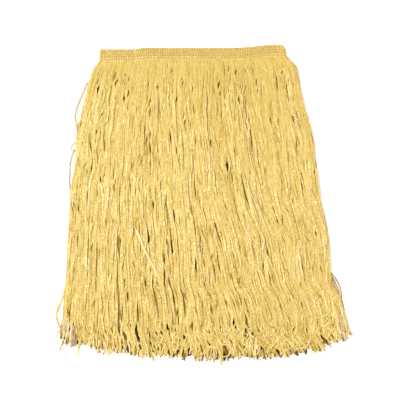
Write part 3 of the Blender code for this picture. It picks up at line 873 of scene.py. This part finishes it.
OVER_STRAYS = [
    ((434, 464, 480, 507, 540), (102, 118, 135, 143, 152)),
    ((379, 402, 426, 450, 474, 498), (-125, -115, -105, -93, -81, -71)),
    ((438, 458, 480, 505, 530), (154, 165, 175, 184, 191)),
    ((430, 450, 474, 496), (224, 227, 231, 236)),
    ((262, 282, 300, 318), (44, 45, 47, 50)),
    ((396, 416, 434, 452), (63, 67, 71, 76)),
    ((298, 312, 326, 342), (-119, -115, -110, -106)),
    ((515, 532, 550, 566), (276, 280, 285, 291)),
    ((562, 580, 596, 610), (306, 308, 309, 311)),
    ((540, 566, 586, 604), (312, 318, 324, 329)),
    ((492, 502, 512, 522), (282, 286, 291, 295)),
    ((405, 422, 440, 458), (277, 279, 281, 282)),
    ((536, 544, 552, 560), (270, 273, 277, 281)),
    ((618, 628, 638, 648), (124, 122, 121, 121)),
    ((630, 640, 650, 660), (122, 126, 129, 131)),
    ((636, 645, 654, 662), (134, 133, 133, 134)),
    ((568, 582, 596, 610), (-195, -193, -191, -190)),
]
CURLED_STRAYS = [
    ((37, 49, 60, 72), (110, 117, 122, 127)),
    ((38, 46, 51, 49), (147, 153, 160, 166)),
    ((42, 51, 60, 69), (195, 186, 180, 185)),
    ((42, 53, 62, 71), (191, 198, 203, 199)),
    ((46, 56, 66, 78), (83, 87, 90, 96)),
    ((135, 149, 161, 175), (-221, -219, -216, -209)),
    ((45, 56, 66, 74), (172, 170, 171, 175)),
    ((182, 194, 205, 218), (-239, -236, -230, -224)),
    ((100, 112, 122, 136), (207, 206, 208, 212)),
]


def lay_strays(name, strays, width, raffia, seed, over=False):
    """Single strips, each a smooth curve through its named points, beside the fringe or over its front."""
    rng = np.random.default_rng(seed)
    t = np.linspace(0.0, 1.0, 49)
    paths = []
    for number, (drops, places) in enumerate(strays):
        knots = np.linspace(0.0, 1.0, len(drops))
        x = smooth_between(knots, np.array(places) / 1000.0, t)
        drop = smooth_between(knots, np.array(drops) / 1000.0, t)
        z = 0.0022 + 0.0022 * (number % 2) + 0.0012 * np.sin(7.0 * t + x * 90.0)
        if over:
            dip = 1.0 - np.minimum(smooth(t / 0.15), smooth((1.0 - t) / 0.15))
            z = layer_room(x, (drop - BAND_HEIGHT) / FRINGE_LENGTH) * (4.25 - 0.9 * dip) + 0.0004
        paths.append(np.stack([x + WAIST_X, TOP_Y - drop, z], -1))
    count = len(strays)
    along = np.broadcast_to(t, (count, t.size))
    ribbon = width * rng.uniform(0.8, 1.2, (count, 1)) * (1.0 + waves(rng, count, along, 3.0, 0.15))
    roll = waves(rng, count, along, 2.0, 0.35)
    tone = 0.95 * (np.arange(count) % 2) + rng.uniform(-0.05, 0.1, count)
    cut = rng.uniform(-0.7, 0.7, count)
    piece = sweep_strips(name, np.array(paths), ribbon, roll, ribbon * 0.2, tone, cut, rows=1)
    piece.data.materials.append(raffia)
    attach(piece, "root")
    return piece


yellow_strays = lay_strays("strips_stray_yellow", YELLOW_STRAYS, 0.0038, loose_raffia, 9)
dull_strays = lay_strays("strips_stray_dull", DULL_STRAYS, 0.0042, dull_raffia, 10)
shaded_strays = lay_strays("strips_stray_shaded", SHADED_STRAYS, 0.0028, shaded_raffia, 11)
over_strays = lay_strays("strips_stray_over", OVER_STRAYS, 0.0044, pale_and_highlight_raffia, 12, over=True)
curled_strays = lay_strays("strips_stray_curled", CURLED_STRAYS, 0.0034, curled_raffia, 14, over=True)
corner_strays = lay_strays("strips_stray_corner", CORNER_STRAYS, 0.0036, shaded_raffia, 13, over=True)

# %% Tangle the ends
TANGLES, TANGLE_START, TANGLE_SPAN = 205, -0.275, 0.590
HEM_LEFT, HEM_RIGHT, HEM_OVERHANG, SIDE_ROOM = 0.287, 0.340, 0.009, 0.004
tangle_rng = np.random.default_rng(47)
t = np.linspace(0.0, 1.0, 17)[None, :]
home_x = TANGLE_START + TANGLE_SPAN * tangle_rng.uniform(0.0, 1.0, (TANGLES, 1)) ** 0.75
spread = home_x / np.where(home_x < 0.0, HEM_LEFT, HEM_RIGHT)
hem = FRINGE_LENGTH - HEM_RISE * spread**2 - HEM_TILT * spread
length = tangle_rng.uniform(0.012, 0.040, (TANGLES, 1))
begin = hem - tangle_rng.uniform(0.006, 0.065, (TANGLES, 1))
curl = 0.5 + 1.5 * smooth((home_x + 0.12) / 0.15)
heading = 0.10 + 0.45 * home_x + tangle_rng.uniform(-0.34, 0.34, (TANGLES, 1)) * curl
heading = heading + tangle_rng.uniform(-0.8, 0.8, (TANGLES, 1)) * curl * t**1.5
step = length / (t.size - 1)
x = home_x + np.cumsum(np.sin(heading), axis=1) * step
fall = np.minimum(begin + np.cumsum(np.cos(heading), axis=1) * step, hem + HEM_OVERHANG)
left, right = (outline_reach(side, BAND_HEIGHT + fall) - SIDE_ROOM for side in ("left", "right"))
x = np.clip(x, -left, right)
dip = 1.0 - smooth(t / 0.2)
arch = tangle_rng.uniform(0.0, 0.0025, (TANGLES, 1)) * np.sin(math.pi * t)
z = layer_room(x, fall / FRINGE_LENGTH) * (4.0 - 0.9 * dip) + arch
tangle_path = np.stack([x + WAIST_X, TOP_Y - BAND_HEIGHT - fall, z], -1)
ribbon = tangle_rng.uniform(0.0024, 0.0050, (TANGLES, 1)) * (1.0 - 0.3 * t)
roll = waves(tangle_rng, TANGLES, t + 0 * home_x, 1.5, 0.6)
tangles = sweep_strips(
    "strips_tangled", tangle_path, ribbon, roll, ribbon * 0.3, tangle_rng.beta(1.7, 1.3, TANGLES)
)
tangles.data.materials.append(tangled_raffia)
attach(tangles, "root")

# %% Scatter the wisps
WISPS = 80
wisp_rng = np.random.default_rng(31)
stations = 49
begin = wisp_rng.uniform(0.04, 0.90, (WISPS, 1))
length = np.minimum(wisp_rng.uniform(0.03, 0.14, (WISPS, 1)), 1.0 - begin)
t = np.linspace(0.0, 1.0, stations)[None, :]
along = begin + length * t
lines = lock_lines(3)
home = wisp_rng.uniform(2.0, 98.0, (WISPS, 1))
slant = wisp_rng.uniform(-3.0, 3.0, (WISPS, 1)) * length / 0.2
place = np.clip(home + slant * t + waves(wisp_rng, WISPS, t + 0 * home, 0.6, 0.4), 0.5, 99.5)
x = read_grid(lines, place, along) + waves(wisp_rng, WISPS, t + 0 * home, 1.2, 0.0009)
dip = 1.0 - np.minimum(smooth(t / 0.12), smooth((1.0 - t) / 0.12))
z = layer_room(x, along) * (4.0 - 0.9 * dip) + 0.0003
y = -BAND_HEIGHT - along * FRINGE_LENGTH
wisp_path = np.stack([x + WAIST_X, y + TOP_Y, z], -1)
ribbon = wisp_rng.uniform(0.0020, 0.0046, (WISPS, 1)) * (1.0 + 0 * t)
roll = waves(wisp_rng, WISPS, t + 0 * home, 1.5, 0.5)
wisps = sweep_strips("strips_wisps", wisp_path, ribbon, roll, ribbon * 0.3, wisp_rng.uniform(0.5, 1.0, WISPS))
# Their pale finish is partly their own colour and partly painted highlight.
wisps.data.materials.append(pale_and_highlight_raffia)
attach(wisps, "root")

# %% [markdown]
# The band is the skirt's one sheet: a straight ribbon before it was wrapped round the waist. The stitches
# and the fringe are separate pieces on it.

fringe_pieces = [back_outer, back_inner, front_inner, front_outer_a, front_outer_b]
fringe_pieces = fringe_pieces + [yellow_strays, dull_strays, shaded_strays, over_strays]
fringe_pieces = fringe_pieces + [curled_strays, corner_strays, tangles, wisps]

# %% [markdown]
# ## Floor, light and camera
# The skirt lies on a white surface under a large soft light from the upper left, with a weaker, warmer one
# opposite and a dim warm sky, so that the creases have a bright side and a shaded one. The surface glows a
# little, which keeps it white. The camera looks straight down.

# %% Set the stage
bpy.ops.mesh.primitive_plane_add(size=12.0, location=(0.0, 0.0, -0.0004))
floor = bpy.context.object
floor.name = "floor"
white = bpy.data.materials.new("white_surface")
white.use_nodes = True
surface = white.node_tree.nodes["Principled BSDF"].inputs
surface["Base Color"].default_value = (0.93, 0.93, 0.93, 1.0)
surface["Roughness"].default_value = 0.9
surface["Emission Color"].default_value = (1.0, 1.0, 1.0, 1.0)
surface["Emission Strength"].default_value = 0.45
floor.data.materials.append(white)


def soft_light(name, place, target, size, power, colour):
    """A square area light of one colour that faces its target."""
    data = bpy.data.lights.new(name, "AREA")
    data.color = colour
    data.size = size
    data.energy = power
    light = bpy.data.objects.new(name, data)
    light.location = place
    light.rotation_euler = (Vector(target) - Vector(place)).to_track_quat("-Z", "Y").to_euler()
    bpy.context.scene.collection.objects.link(light)


soft_light("key_light", (-3.8, 1.6, 6.4), (0.0, 0.0, 0.0), 2.2, 730.0, (1.0, 1.0, 1.0))
soft_light("fill_light", (3.2, -1.6, 4.6), (0.0, 0.0, 0.0), 3.0, 108.0, (1.0, 0.90, 0.74))
world = bpy.data.worlds.new("studio")
bpy.context.scene.world = world
world.use_nodes = True
world.node_tree.nodes["Background"].inputs["Color"].default_value = (1.0, 0.90, 0.74, 1.0)
world.node_tree.nodes["Background"].inputs["Strength"].default_value = 0.23
bpy.context.scene.view_settings.view_transform = "Standard"

# A pixel in metres, the picture's width, and where the waist's middle and the band's top edge lie in it
PIXEL, PICTURE, WAIST_PIXEL, TOP_PIXEL = 0.00214, 400, 193, 48
VIEW_CENTRE = (WAIST_X + (PICTURE / 2 - WAIST_PIXEL) * PIXEL, TOP_Y - (PICTURE / 2 - TOP_PIXEL) * PIXEL)
CAMERA_HEIGHT, SENSOR = 2.8, 36.0
camera_data = bpy.data.cameras.new("camera")
camera_data.sensor_width = SENSOR
camera_data.lens = SENSOR * CAMERA_HEIGHT / (PICTURE * PIXEL)
camera = bpy.data.objects.new("camera", camera_data)
camera.location = (VIEW_CENTRE[0], VIEW_CENTRE[1], CAMERA_HEIGHT)
bpy.context.scene.collection.objects.link(camera)
bpy.context.scene.camera = camera
print("The camera sees", round(PICTURE * PIXEL, 3), "m across")
